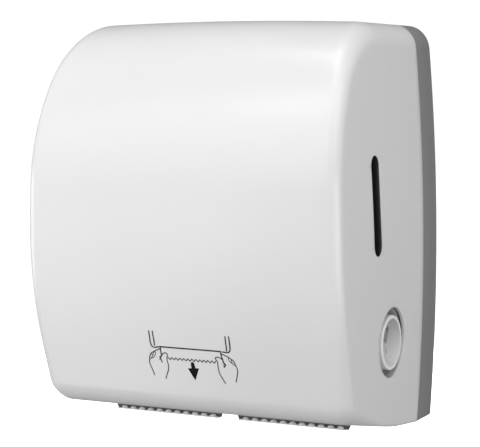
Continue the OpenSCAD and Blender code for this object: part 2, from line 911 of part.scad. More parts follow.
// Extension spring as one tube: a loop round the crank pin, the coils, and a loop round the post
loop_radius = post_radius + wire_radius + beside;
loop_steps = 10;
rings_per_coil = 8;
coil_start = crank_throw + loop_radius + spring_lead;
coil_end = post_run - loop_radius - spring_lead;
function loop_point(along, from, a) = [along + loop_radius * cos(from + a), loop_radius * sin(from + a), 0];
spring_path = concat(
    [for (k = [0:loop_steps]) loop_point(crank_throw, loop_from, loop_sweep * k / loop_steps)],
    [for (k = [0:coil_count * rings_per_coil])
        let (a = 360 * k / rings_per_coil, s = k / (coil_count * rings_per_coil))
        [coil_start + (coil_end - coil_start) * s, coil_radius * cos(a), coil_radius * sin(a)]],
    [for (k = [0:loop_steps]) loop_point(post_run, 180, loop_sweep * k / loop_steps)]);
wire_sides = 6;
function heading(path, k) = unit(path[min(k + 1, len(path) - 1)] - path[max(k - 1, 0)]);
// Carries a cross direction along the path without twist
function carried(path, k, previous) = let (t = heading(path, k)) unit(previous - t * (previous * t));
function frames(path, k, previous) = k == len(path) ? [] :
    let (now = carried(path, k, previous)) concat([now], frames(path, k + 1, now));
function tube_points(path, r, sides) = let (across_path = frames(path, 0, [0, 0.1, 1]))
    [for (k = [0:len(path) - 1], s = [0:sides - 1])
        let (u = across_path[k], v = cross(heading(path, k), u), a = 360 * s / sides)
        path[k] + r * (cos(a) * u + sin(a) * v)];
function tube_faces(count, sides) = concat(
    [for (k = [0:count - 2], s = [0:sides - 1])
        let (a = k * sides + s, b = k * sides + (s + 1) % sides)
        each [[a, a + sides, b + sides], [a, b + sides, b]]],
    [[for (s = [0:sides - 1]) s]],
    [[for (s = [sides - 1:-1:0]) (count - 1) * sides + s]]);
// Least gap between stretches of the wire that lie more than half a coil apart along it
spring_gap = min([for (i = [0:len(spring_path) - 1], j = [i + rings_per_coil - 2:1:len(spring_path) - 1])
    if (j > i) norm(spring_path[i] - spring_path[j])]) - 2 * wire_radius;

module drive_spring() {
    points = tube_points(spring_path, wire_radius, wire_sides);
    color("silver") translate([spring_x, -drum_depth, bottom + drum_height])
        rotate([90, 0, -90]) rotate([0, 0, post_angle])
            polyhedron(points, tube_faces(len(spring_path), wire_sides));
}

// Drum
band_places = [for (k = [1:band_count]) drum_half * (2 * k - band_count - 1) / band_count * band_spread];
slot_width = blade_thickness + 2 * slot_side;
slot_length = blade_length + 2 * slot_end;

module drum_shell(from) {
    half_band = band_width / 2 + fixed;
    difference() {
        drum_arc(-drum_half, drum_half, drum_radius - drum_wall, drum_radius, from, 180);
        for (x = band_places)
            drum_arc(x - half_band, x + half_band, drum_radius - band_depth - fixed, drum_radius + past,
                from - past, 180 + 2 * past);
    }
}

module drum_shell_front() {
    color("whitesmoke") difference() {
        drum_shell(blade_angle - 90);
        along_blade() translate([0, -slot_width / 2, -slot_length / 2])
            cube([drum_radius + past, slot_width, slot_length]);
    }
}

module drum_shell_rear() { color("whitesmoke") drum_shell(blade_angle + 90); }

module grip_bands() {
    color("dimgray") for (x = band_places)
        drum_arc(x - band_width / 2, x + band_width / 2, drum_radius - band_depth, grip_radius,
            blade_angle + band_break, 360 - 2 * band_break);
}

module drum_cap(side) {
    a = min(side * (drum_half - cap_thickness), side * drum_half);
    difference() {
        bar(a, a + cap_thickness, drum_depth, drum_height, drum_radius - drum_wall - fixed);
        bar(a - past, a + cap_thickness + past, drum_depth, drum_height, shaft_radius + fixed);
        along_blade() translate([0, 0, -a - cap_thickness - past]) {
            translate([carrier_inner - beside, -carrier_thickness / 2 - beside / 2, 0])
                cube([drum_radius, carrier_thickness + beside, cap_thickness + 2 * past]);
            for (k = [1:cap_holes]) rotate([0, 0, 360 * k / (cap_holes + 1)])
                translate([cap_hole_place, 0, 0]) cylinder(h = cap_thickness + 2 * past, r = cap_hole_radius);
        }
    }
}

module drum_cap_left() { color("gainsboro") drum_cap(-1); }

module drum_cap_right() { color("gainsboro") drum_cap(1); }

// Ring about the hinge axis that the dog and its slot follow, so that the cover swings clear
module dog_ring(x0, x1, thickness) {
    difference() {
        bar(x0, x1, hinge_depth, hinge_height, dog_radius + thickness / 2);
        bar(x0 - past, x1 + past, hinge_depth, hinge_height, dog_radius - thickness / 2);
    }
}

module drum_shaft() {
    color("silver") difference() {
        bar(shaft_start, shaft_end, drum_depth, drum_height, shaft_radius);
        dog_ring(spindle_end - beside, shaft_end + past, dog_thickness + beside);
    }
}

// Cutter
module blade_carrier() {
    reach = drum_half - cap_thickness / 2;
    slit = blade_thickness + 2 * fixed;
    color("gainsboro") along_blade() difference() {
        translate([carrier_inner, -carrier_thickness / 2, -reach])
            cube([carrier_width, carrier_thickness, 2 * reach]);
        translate([carrier_inner + carrier_width / 2, -slit / 2, -blade_length / 2 - fixed])
            cube([carrier_width, slit, blade_length + 2 * fixed]);
    }
}

module cutter_blade() {
    root = carrier_inner + carrier_width / 2 + fixed;
    tip = drum_radius - tooth_sink;
    teeth = floor(blade_length / tooth_pitch);
    outline = concat(
        [[root, -teeth * tooth_pitch / 2]],
        [for (k = [0:2 * teeth]) [k % 2 == 0 ? tip - tooth_height : tip, (k - teeth) * tooth_pitch / 2]],
        [[root, teeth * tooth_pitch / 2]]);
    color("lightsteelblue") along_blade() translate([0, blade_thickness / 2, 0]) rotate([90, 0, 0])
        linear_extrude(height = blade_thickness) polygon(outline);
}

// Pinch roller
module roller_axle() {
    color("silver") bar(-cheek_out, cheek_out, roller_depth, roller_height, axle_radius);
}

roller_half = cheek_in - roller_gap;
tyre_places = [for (k = [1:tyre_count]) roller_half * (2 * k - tyre_count - 1) / tyre_count];

module roller_core() {
    color("gainsboro") difference() {
        union() {
            bar(-roller_half, roller_half, roller_depth, roller_height, roller_core_radius);
            for (side = [-1, 1])
                side_bar(side, roller_half - join, cheek_in - beside,
                    roller_depth, roller_height, axle_radius + roller_boss);
        }
        bar(-cheek_in, cheek_in, roller_depth, roller_height, axle_radius + running);
    }
}

module roller_tyres() {
    color("dimgray") for (x = tyre_places) difference() {
        bar(x - tyre_width / 2, x + tyre_width / 2, roller_depth, roller_height, roller_radius);
        bar(x - tyre_width / 2 - past, x + tyre_width / 2 + past,
            roller_depth, roller_height, roller_core_radius + fixed);
    }
}

// Roll holder
module arm_outline(root_depth) {
    hull() {
        translate([roll_depth, roll_height]) circle(r = arm_end);
        translate([root_depth, pivot_low]) square([root_strip, arm_root]);
    }
}

module hub_seat(side) {
    side_bar(side, hub_tip, arm_in + join, roll_depth, roll_height, hub_pin);
}

module roll_arm_left() {
    color("whitesmoke") difference() {
        union() {
            across(-arm_out, -arm_in) arm_outline(wall);
            hub_seat(-1);
            foot_plate(-arm_out - foot_width, -arm_in, pivot_low, pivot_high);
        }
        screw_bores(wall - past, wall + foot_thickness + past, screw_radius + fixed);
    }
}

module roll_arm_right() {
    color("whitesmoke") difference() {
        union() {
            across(arm_in, arm_out) arm_outline(pivot_depth);
            hub_seat(1);
            translate([pivot_x, -pivot_depth, bottom + pivot_low]) cylinder(h = arm_root, r = pivot_barrel);
        }
        translate([pivot_x, -pivot_depth, bottom + pivot_low - past])
            cylinder(h = arm_root + 2 * past, r = pivot_pin + running);
    }
}

module roll_hub(side) {
    translate([0, -roll_depth, bottom + roll_height]) rotate([0, 90 * side, 0]) difference() {
        union() {
            translate([0, 0, hub_face]) cylinder(h = arm_in - beside - hub_face, r = hub_flange);
            translate([0, 0, hub_face - hub_length])
                cylinder(h = hub_length + join, r1 = hub_radius - hub_taper, r2 = hub_radius);
        }
        translate([0, 0, hub_tip - beside]) cylinder(h = hub_length + arm_in, r = hub_pin + running);
        for (k = [1:flute_count]) rotate([0, 0, 360 * k / flute_count])
            translate([hub_radius, 0, hub_face - hub_length - past])
                cylinder(h = hub_length + past, r = flute_radius);
    }
}

module roll_hub_left() { color("gainsboro") roll_hub(-1); }

module roll_hub_right() { color("gainsboro") roll_hub(1); }

// Cover
module window_outline(length, width) {
    straight = length - width;
    square([width, straight], center = true);
    for (end = [-1, 1]) translate([0, end * straight / 2]) circle(r = width / 2);
}

module front_cover() {
    color("white") difference() {
        polyhedron(concat(skin_points(0), skin_points(wall)),
            concat(skin_faces(0), skin_faces(1), rim_faces()));
        across(cup_back, half_width + past) translate([window_depth, window_height])
            rotate(-window_lean) window_outline(window_length, window_width);
        bar(cup_back, half_width + past, drum_depth, drum_height, recess_radius);
        upright(lock_depth, lock_seat - past, lock_top + past, lock_radius + beside);
        translate([-exit_half, -exit_front, bottom - past])
            cube([2 * exit_half, exit_front - exit_rear, chin_rise + wall + past]);
        bar(-half_width, half_width, hinge_depth, hinge_height, cover_sweep);
    }
}

module window_lens() {
    length = window_length + 2 * lens_border;
    face_low = side_x(window_height - length / 2, wall) - beside;
    face_high = side_x(window_height + length / 2, wall) - beside;
    lens_rise = wall + beside - lens_drop;
    color("#2b2b2d") translate([(face_low + face_high) / 2, -window_depth, bottom + window_height])
        rotate([0, -atan2(face_low - face_high, length), 0])
            rotate([90, 0, -90]) rotate([0, 0, -window_lean]) {
                linear_extrude(height = lens_thickness)
                    window_outline(length, window_width + 2 * lens_border);
                translate([0, 0, -lens_rise]) linear_extrude(height = lens_rise + join)
                    window_outline(window_length - 2 * beside, window_width - 2 * beside);
            }
}

// Recess cup and feed wheel
module wheel_cup() {
    bore = spindle_radius + running;
    mouth = recess_radius - cup_step;
    base = wheel_radius + cup_channel;
    color("white") turned_across(drum_depth, drum_height) polygon([
        [bore, sleeve_end],
        [bore + sleeve_wall, sleeve_end],
        [bore + sleeve_wall, cup_back],
        [base + cup_wall, cup_back],
        [mouth + cup_wall, cup_seat - cup_wall],
        [recess_radius + cup_flange, cup_seat - cup_wall],
        [recess_radius + cup_flange, cup_seat],
        [mouth, cup_seat],
        [base, cup_floor],
        [bore, cup_floor]]);
}

// Round-ended hollow for a finger, sunk in the wheel's bowl
module finger_scoop(bowl) {
    sag = (pow(scoop_forward, 2) + pow(scoop_up, 2)) / (2 * bowl);
    translate([wheel_hollow + sag + scoop_radius - scoop_depth, -drum_depth - scoop_forward,
        bottom + drum_height + scoop_up]) {
        for (end = [-1, 1]) translate([0, 0, end * scoop_length / 2]) sphere(r = scoop_radius);
        cylinder(h = scoop_length, r = scoop_radius, center = true);
    }
}

module feed_wheel() {
    neck = spindle_radius - clip_groove;
    rim = wheel_radius - wheel_rim;
    bowl = (pow(rim, 2) + pow(wheel_dish, 2)) / (2 * wheel_dish);
    color("white") difference() {
        union() {
            turned_across(drum_depth, drum_height) polygon([
                [0, land_end],
                [neck, land_end],
                [neck, sleeve_end - beside],
                [spindle_radius, sleeve_end - beside],
                [spindle_radius, wheel_back],
                [wheel_radius, wheel_back],
                [wheel_radius, wheel_face - edge_break],
                [wheel_radius - edge_break, wheel_face],
                [0, wheel_face]]);
            intersection() {
                bar(spindle_end, land_end + join, drum_depth, drum_height, neck);
                dog_ring(spindle_end, clip_end, dog_thickness);
            }
        }
        translate([wheel_hollow + bowl, -drum_depth, bottom + drum_height]) sphere(r = bowl);
        finger_scoop(bowl);
    }
}

module wheel_clip() {
    groove = spindle_radius - clip_groove + fixed;
    color("dimgray") difference() {
        bar(clip_end, clip_end + clip_thickness, drum_depth, drum_height, spindle_radius + clip_reach);
        bar(clip_end - past, clip_end + clip_thickness + past, drum_depth, drum_height, groove);
    }
}

// Cover hinge arms
module hinge_arm(side) {
    a = min(side * hinge_inner, side * hinge_outer);
    near = parting_depth + hinge_lead;
    far = near + hinge_reach;
    difference() {
        across(a, a + hinge_width) {
            translate([hinge_depth, hinge_height]) circle(r = hinge_eye);
            polygon([
                [hinge_depth, hinge_height - hinge_root],
                [near, floor_height(near) + beside],
                [far, floor_height(far) + beside],
                [far, floor_height(far) + hinge_arm_thickness],
                [hinge_depth, hinge_height + hinge_eye]]);
        }
        bar(a - past, a + hinge_width + past, hinge_depth, hinge_height, hinge_pin + running);
    }
}

module hinge_arm_left() { color("whitesmoke") hinge_arm(-1); }

module hinge_arm_right() { color("whitesmoke") hinge_arm(1); }

// Exit combs, hung from the sloping underside of the cover in front of the exit
module exit_comb(side) {
    slope = atan2(chin_rise - keel_rise, chin_depth - keel_depth);
    outer = half_width - comb_margin;
    half = (outer - comb_inner) / 2;
    pitch = 2 * half / (comb_posts + 1);
    foot = half - comb_slant;
    translate([side * (outer + comb_inner) / 2, -comb_depth, bottom + floor_height(comb_depth) - wall])
        rotate([-slope, 0, 0]) translate([0, 0, -beside]) {
            translate([0, comb_plate, 0]) rotate([90, 0, 0]) linear_extrude(height = comb_plate)
                polygon([[-foot, -comb_height], [foot, -comb_height], [half, 0], [-half, 0]]);
            translate([-foot, -comb_post_radius, -comb_height])
                cube([2 * foot, comb_post_radius + join, comb_ledge]);
            for (k = [1:comb_posts])
                translate([(k - (comb_posts + 1) / 2) * pitch, 0, comb_ledge - comb_height - join])
                    cylinder(h = comb_height - comb_ledge + join, r = comb_post_radius);
        }
}

module exit_comb_left() { color("white") exit_comb(-1); }

module exit_comb_right() { color("white") exit_comb(1); }

// Lock
module lock_housing() {
    color("silver") difference() {
        union() {
            upright(lock_depth, lock_bottom, lock_top, lock_radius);
            upright(lock_depth, lock_seat - lock_flange_height, lock_seat, lock_flange);
        }
        upright(lock_depth, lock_bottom - past, lock_top + past, barrel_radius + running);
    }
}

module lock_barrel() {
    color("gray") difference() {
        union() {
            upright(lock_depth, cam_top, lock_top, barrel_radius);
            upright(lock_depth, cam_bottom - nut_height, cam_top + join, stud_radius);
        }
        translate([-key_width / 2, -lock_depth - key_length / 2, bottom + lock_top - key_depth])
            cube([key_width, key_length, key_depth + past]);
    }
}

module lock_cam() {
    color("silver") translate([0, -lock_depth, bottom + cam_bottom]) difference() {
        linear_extrude(height = cam_thickness) {
            circle(r = cam_width / 2);
            translate([0, -cam_width / 2]) square([cam_reach, cam_width]);
            translate([cam_reach - hook_width, 0]) square([hook_width, cam_width / 2 + hook_length]);
        }
        translate([0, 0, -past]) cylinder(h = cam_thickness + 2 * past, r = stud_radius + fixed);
    }
}

module lock_nut() {
    color("silver") difference() {
        translate([0, -lock_depth, bottom + cam_bottom - nut_height])
            cylinder(h = nut_height, r = nut_radius, $fn = 6);
        upright(lock_depth, cam_bottom - nut_height - past, cam_bottom + past, stud_radius + fixed);
    }
}

echo(least_spring_gap = spring_gap);

rear_case();
cheek_left();
cheek_right();
bush_left();
bush_right();
one_way_clutch();
roller_axle();
tie_rods();
rear_guide();
front_guide();
drive_housing();
drive_spring();
roll_arm_left();
arm_pin();
hinge_pins();
fixing_screws();
front_cover();
window_lens();
wheel_cup();
exit_comb_left();
exit_comb_right();
hinge_arm_left();
hinge_arm_right();
lock_housing();
lock_barrel();
lock_cam();
lock_nut();
feed_wheel();
wheel_clip();
drum_shell_front();
drum_shell_rear();
drum_cap_left();
drum_cap_right();
drum_shaft();
grip_bands();
crank_disc();
blade_carrier();
cutter_blade();
roller_core();
roller_tyres();
roll_arm_right();
roll_hub_left();
roll_hub_right();
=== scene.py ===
import json
import math
import bpy
import bmesh
from mathutils import Matrix, Vector


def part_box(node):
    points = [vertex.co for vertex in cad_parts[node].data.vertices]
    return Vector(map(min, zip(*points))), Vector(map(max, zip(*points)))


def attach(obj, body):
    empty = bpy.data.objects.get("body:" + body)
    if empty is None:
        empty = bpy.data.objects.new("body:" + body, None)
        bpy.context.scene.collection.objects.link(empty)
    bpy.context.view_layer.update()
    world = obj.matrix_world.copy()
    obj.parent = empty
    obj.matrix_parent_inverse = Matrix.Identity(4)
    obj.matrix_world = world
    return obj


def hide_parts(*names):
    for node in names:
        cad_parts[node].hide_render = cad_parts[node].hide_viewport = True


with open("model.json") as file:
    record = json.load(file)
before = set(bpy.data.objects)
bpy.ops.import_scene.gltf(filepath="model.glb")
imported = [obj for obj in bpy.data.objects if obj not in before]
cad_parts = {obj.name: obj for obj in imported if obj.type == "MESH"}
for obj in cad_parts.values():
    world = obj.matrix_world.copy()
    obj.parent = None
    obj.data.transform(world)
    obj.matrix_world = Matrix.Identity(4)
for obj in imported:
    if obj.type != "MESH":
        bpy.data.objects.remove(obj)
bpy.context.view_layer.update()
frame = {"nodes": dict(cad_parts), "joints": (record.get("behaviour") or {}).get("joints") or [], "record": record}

# Sizes of the cover in millimetres, as in the part's source, with depths from the wall and heights from below
WIDTH, HEIGHT, DEPTH = 310.0, 380.0, 245.0
HALF_W, HALF_H = WIDTH / 2, HEIGHT / 2
WALL = 3.0
PARTING = 37.5
SIDE_BOW, BOW_HEIGHT = 7.7, 152.0
TOP_CROWN = 3.0
FRONT_FILLET, TOP_FILLET, CHIN_FILLET = 10.0, 21.0, 3.0
CHIN_SWELL, CHIN_FADE = 16.0, 80.0
LEAST_FILLET = 0.3

# Corners of the cover's side view as (depth, height), from the underside round the front to the top
CHIN_REAR, CREST_REAR = (PARTING, 0.0), (PARTING, HEIGHT)
KEEL, CHIN, BELLY, BROW, CREST = (95.0, 6.3), (210.5, 28.6), (DEPTH, 141.0), (DEPTH, 284.0), (185.0, HEIGHT)
CORNERS = [CHIN_REAR, KEEL, CHIN, BELLY, BROW, CREST, CREST_REAR]
KEEL_RADIUS, CHIN_RADIUS = 300.0, 28.0
FULL_RADIUS = 900.0  # more than fits, so such a corner takes as much of its runs as it may
RADII = [KEEL_RADIUS, CHIN_RADIUS, FULL_RADIUS, FULL_RADIUS, FULL_RADIUS]
SHARED_RUN, LONE_RUN = 0.49, 0.9  # share of a run that a corner may take, with another at its far end or none
FRONT_FROM = PARTING + 60.0  # rows of the side view nearer to the wall are the underside or the top


def joint_place(name):
    """Depth and height of a joint's axis, in millimetres."""
    _, y, z = next(joint["pos_m"] for joint in frame["joints"] if joint["name"] == name)
    return -1000 * y, 1000 * z + HALF_H


DRUM, HINGE, LOCK = joint_place("drum_spin"), joint_place("cover_open"), joint_place("lock_turn")

# Openings of the cover
WINDOW = dict(depth=156.5, height=215.0, length=90.0, width=19.0, lean=3.8)
RECESS_RADIUS, LOCK_RADIUS, HINGE_RADIUS = 32.3, 8.3, 20.08
EXIT = dict(half=118.0, rear=92.0, front=130.0, top=32.0)
PAST = 5.0  # how far a cutter reaches past the cover
WINDOW_REACH, RECESS_REACH, LOCK_REACH = 15.0, 20.0, 10.0  # and how far into it
ROUND_STEPS, SMALL_ROUND_STEPS, SLOT_END_STEPS = 96, 48, 20


def place(x, depth, height):
    """A point in the row frame, in metres, from millimetres across, from the wall and from the underside."""
    return Vector((x, -depth, height - HALF_H)) / 1000


def side_place(depth, height, x):
    return place(x, depth, height)


# Cover surface
def rounded(before, at, after, radius, share_before, share_after, turn_step):
    """Arc at a corner as rows of (depth, height, normal's depth and height), one every turn_step degrees."""
    b, a, c = Vector(before), Vector(at), Vector(after)
    u, v = (b - a).normalized(), (c - a).normalized()
    half = math.acos(max(-1, min(1, u.dot(v)))) / 2
    run = min(radius / math.tan(half), share_before * (b - a).length, share_after * (c - a).length)
    r = run * math.tan(half)
    centre = a + (u + v).normalized() * r / math.sin(half)
    start = a + u * run - centre
    turn = math.pi - 2 * half
    steps = max(2, math.ceil(math.degrees(turn) / turn_step))
    out = []
    for k in range(steps + 1):
        q = Matrix.Rotation(turn * k / steps, 2) @ start
        out.append((centre.x + q.x, centre.y + q.y, q.x / r, q.y / r))
    return out


def profile(turn_step, stretch):
    """Rows of the cover's side view, with straight runs divided at about stretch millimetres."""
    arcs = [(*CHIN_REAR, 0.0, -1.0)]
    for k, radius in enumerate(RADII, 1):
        share_before = LONE_RUN if k == 1 else SHARED_RUN
        share_after = LONE_RUN if k == len(RADII) else SHARED_RUN
        arcs += rounded(*CORNERS[k - 1:k + 2], radius, share_before, share_after, turn_step)
    arcs.append((*CREST_REAR, 0.0, 1.0))
    rows = [arcs[0]]
    for p, q in zip(arcs, arcs[1:]):
        parts = max(1, round(math.dist(p[:2], q[:2]) / stretch))
        for k in range(1, parts + 1):
            t = k / parts
            d, z, nd, nz = (p[i] + (q[i] - p[i]) * t for i in range(4))
            size = math.hypot(nd, nz)
            rows.append((d, z, nd / size, nz / size))
    return rows


def edge_radius(row):
    """Radius between front and sides: large along the top, small along the underside, swelling at the chin."""
    turn = row[3] ** 2
    if row[3] > 0:
        return FRONT_FILLET + (TOP_FILLET - FRONT_FILLET) * turn
    swell = CHIN_SWELL * turn * max(0, 1 - math.dist(row[:2], CHIN) / CHIN_FADE)
    return FRONT_FILLET - (FRONT_FILLET - CHIN_FILLET) * turn + swell


def bow(height):
    return 1 - SIDE_BOW / HALF_W * ((height - BOW_HEIGHT) / HALF_H) ** 2


def formed(x, depth, height):
    """A point of the plain cover, with the bow of the sides and the crown of the top."""
    crown = TOP_CROWN * (x / HALF_W) ** 2 * max(0, height - HALF_H) / HALF_H
    return place(x * bow(height), depth, height - crown)


def skin(row, share, angle, inset):
    """A point of a row: a share of the way to a side's fillet, then an angle round it, inset from outside."""
    r = max(edge_radius(row) - inset, LEAST_FILLET)
    back = r * (1 - math.cos(angle)) + inset
    x = share * (HALF_W - inset - r) + math.copysign(r * math.sin(angle), share)
    return formed(x, row[0] - row[2] * back, row[1] - row[3] * back)


FRONT_ROWS = profile(turn_step=1.0, stretch=3.0)


def front_point(x, height, lift):
    """The point of the cover's front at x and height, lifted off it, all in millimetres."""
    for p, q in zip(FRONT_ROWS, FRONT_ROWS[1:]):
        if p[1] <= height <= q[1] and p[0] > FRONT_FROM:
            t = (height - p[1]) / (q[1] - p[1]) if q[1] > p[1] else 0
            d, nd, nz = (p[i] + (q[i] - p[i]) * t for i in (0, 2, 3))
            return formed(x / bow(height), d + nd * lift, height + nz * lift)
    raise ValueError(height)


# Mesh helpers
def new_object(name, data):
    obj = bpy.data.objects.new(name, data)
    bpy.context.scene.collection.objects.link(obj)
    return obj


def mesh_from(name, verts, faces):
    mesh = bpy.data.meshes.new(name)
    mesh.from_pydata([tuple(v) for v in verts], [], faces)
    mesh.validate()
    mesh.update()
    return mesh


def prism(outline, to_point, low, high):
    """Closed prism between two values of its third coordinate."""
    n = len(outline)
    verts = [to_point(a, b, low) for a, b in outline] + [to_point(a, b, high) for a, b in outline]
    faces = [tuple(range(n - 1, -1, -1)), tuple(range(n, 2 * n))]
    faces += [(k, (k + 1) % n, n + (k + 1) % n, n + k) for k in range(n)]
    mesh = mesh_from("prism", verts, faces)
    bm = bmesh.new()
    bm.from_mesh(mesh)
    bmesh.ops.recalc_face_normals(bm, faces=bm.faces)
    bm.to_mesh(mesh)
    bm.free()
    return new_object("prism", mesh)


def circle(centre, radius, steps):
    turns = [2 * math.pi * k / steps for k in range(steps)]
    return [(centre[0] + radius * math.cos(a), centre[1] + radius * math.sin(a)) for a in turns]


def slot(depth, height, length, width, lean):
    """Outline of a slot with round ends, leaning by some degrees."""
    r, half = width / 2, (length - width) / 2
    turns = [math.pi * k / SLOT_END_STEPS for k in range(SLOT_END_STEPS + 1)]
    points = [(r * math.cos(a), half + r * math.sin(a)) for a in turns]
    points += [(-x, -y) for x, y in points]
    c, s = math.cos(math.radians(-lean)), math.sin(math.radians(-lean))
    return [(depth + x * c - y * s, height + x * s + y * c) for x, y in points]


def combine(obj, others, operation):
    """Joins the others to an object or cuts them from it, and deletes them."""
    for other in others:
        mod = obj.modifiers.new("combine", "BOOLEAN")
        mod.operation = operation
        mod.solver = "EXACT"
        mod.object = other
    depsgraph = bpy.context.evaluated_depsgraph_get()
    mesh = bpy.data.meshes.new_from_object(obj.evaluated_get(depsgraph))
    obj.modifiers.clear()
    obj.data = mesh
    for other in others:
        bpy.data.objects.remove(other)


SMOOTH_BELOW = 30.0


def soften(obj):
    obj.data.shade_smooth()
    obj.data.set_sharp_from_angle(angle=math.radians(SMOOTH_BELOW))


def bevel_edges(obj, width, angle):
    """Rounds the edges that are sharper than an angle in degrees."""
    bm = bmesh.new()
    bm.from_mesh(obj.data)
    edges = [e for e in bm.edges if len(e.link_faces) == 2 and e.calc_face_angle(0) > math.radians(angle)]
    bmesh.ops.bevel(bm, geom=edges, offset=width / 1000, segments=2, profile=0.5, affect="EDGES",
                    clamp_overlap=True, offset_type="OFFSET")
    bm.to_mesh(obj.data)
    bm.free()


# Materials
def base_material(name, color, rough, metallic=0.0, specular=0.5):
    mat = bpy.data.materials.new(name)
    mat.use_nodes = True
    mat.diffuse_color = (*color, 1)
    nodes, links = mat.node_tree.nodes, mat.node_tree.links
    shader = nodes["Principled BSDF"]
    shader.inputs["Base Color"].default_value = (*color, 1)
    shader.inputs["Roughness"].default_value = rough
    shader.inputs["Metallic"].default_value = metallic
    shader.inputs["Specular IOR Level"].default_value = specular
    return mat, nodes, links, shader


NOISE_LOW, NOISE_HIGH = 0.3, 0.7  # nearly all of a noise lies between these


def noise(nodes, links, scale, detail, rough=0.5, stretch=(1, 1, 1)):
    coord = nodes.new("ShaderNodeTexCoord")
    mapping = nodes.new("ShaderNodeMapping")
    mapping.inputs["Scale"].default_value = stretch
    texture = nodes.new("ShaderNodeTexNoise")
    texture.inputs["Scale"].default_value = scale
    texture.inputs["Detail"].default_value = detail
    texture.inputs["Roughness"].default_value = rough
    links.new(coord.outputs["Object"], mapping.inputs["Vector"])
    links.new(mapping.outputs["Vector"], texture.inputs["Vector"])
    return texture.outputs["Fac"]


def mottle(nodes, links, source, low, high):
    """Colours from low to high over a noise."""
    node = nodes.new("ShaderNodeValToRGB")
    first, last = node.color_ramp.elements
    first.position, last.position = NOISE_LOW, NOISE_HIGH
    first.color, last.color = (*low, 1), (*high, 1)
    links.new(source, node.inputs["Fac"])
    return node.outputs["Color"]


def spread(nodes, links, source, low, high):
    """Values from low to high over a noise."""
    node = nodes.new("ShaderNodeMapRange")
    node.inputs["From Min"].default_value = NOISE_LOW
    node.inputs["From Max"].default_value = NOISE_HIGH
    node.inputs["To Min"].default_value = low
    node.inputs["To Max"].default_value = high
    links.new(source, node.inputs["Value"])
    return node.outputs["Result"]


def bump(nodes, links, shader, source, distance, strength=1.0):
    node = nodes.new("ShaderNodeBump")
    node.inputs["Distance"].default_value = distance
    node.inputs["Strength"].default_value = strength
    links.new(source, node.inputs["Height"])
    links.new(node.outputs["Normal"], shader.inputs["Normal"])


def scaled(color, factor):
    return tuple(min(1, c * factor) for c in color)


def plastic(name, color, rough, vary, grain=900.0, depth=2e-5, rough_vary=0.05):
    """Moulded plastic: slow mottling of the colour, uneven gloss, and a fine grain from the tool."""
    mat, nodes, links, shader = base_material(name, color, rough)
    slow = noise(nodes, links, scale=9.0, detail=3.0)
    tint = mottle(nodes, links, slow, scaled(color, 1 - vary), scaled(color, 1 + vary))
    links.new(tint, shader.inputs["Base Color"])
    patches = noise(nodes, links, scale=60.0, detail=4.0)
    gloss = spread(nodes, links, patches, rough - rough_vary, rough + rough_vary)
    links.new(gloss, shader.inputs["Roughness"])
    bump(nodes, links, shader, noise(nodes, links, scale=grain, detail=2.0), depth)
    return mat


def metal(name, color, rough, stretch=(1, 1, 1)):
    """Drawn or brushed metal, with fine scratches along one direction."""
    mat, nodes, links, shader = base_material(name, color, rough, metallic=1.0)
    scratches = noise(nodes, links, scale=700.0, detail=4.0, rough=0.6, stretch=stretch)
    links.new(spread(nodes, links, scratches, rough - 0.08, rough + 0.12), shader.inputs["Roughness"])
    bands = noise(nodes, links, scale=90.0, detail=3.0, stretch=stretch)
    tint = mottle(nodes, links, bands, scaled(color, 0.88), scaled(color, 1.06))
    links.new(tint, shader.inputs["Base Color"])
    bump(nodes, links, shader, scratches, distance=1e-5)
    return mat


def rubber(name, color):
    mat, nodes, links, shader = base_material(name, color, rough=0.75, specular=0.3)
    dust = noise(nodes, links, scale=120.0, detail=4.0)
    links.new(mottle(nodes, links, dust, scaled(color, 0.7), scaled(color, 1.4)), shader.inputs["Base Color"])
    bump(nodes, links, shader, noise(nodes, links, scale=1600.0, detail=3.0), distance=6e-5)
    return mat


def distance_field(nodes, links, centre, stretch, near, far):
    """Rises from 0 at a near distance from a point to 1 at a far one; stretch 0 leaves a direction out."""
    coord = nodes.new("ShaderNodeTexCoord")
    offset = nodes.new("ShaderNodeVectorMath")
    offset.operation = "SUBTRACT"
    offset.inputs[1].default_value = centre
    flat = nodes.new("ShaderNodeVectorMath")
    flat.operation = "MULTIPLY"
    flat.inputs[1].default_value = stretch
    length = nodes.new("ShaderNodeVectorMath")
    length.operation = "LENGTH"
    span = nodes.new("ShaderNodeMapRange")
    span.inputs["From Min"].default_value = near
    span.inputs["From Max"].default_value = far
    links.new(coord.outputs["Object"], offset.inputs[0])
    links.new(offset.outputs["Vector"], flat.inputs[0])
    links.new(flat.outputs["Vector"], length.inputs[0])
    links.new(length.outputs["Value"], span.inputs["Value"])
    return span.outputs["Result"]


def greys(nodes, links, value, tones):
    """Greys over a value, from (value, grey) stops."""
    node = nodes.new("ShaderNodeValToRGB")
    stops = node.color_ramp.elements
    while len(stops) < len(tones):
        stops.new(0.5)
    for stop, (at, grey) in zip(stops, tones):
        stop.position = at
        stop.color = (grey, grey, grey, 1)
    links.new(value, node.inputs["Fac"])
    return node.outputs["Color"]


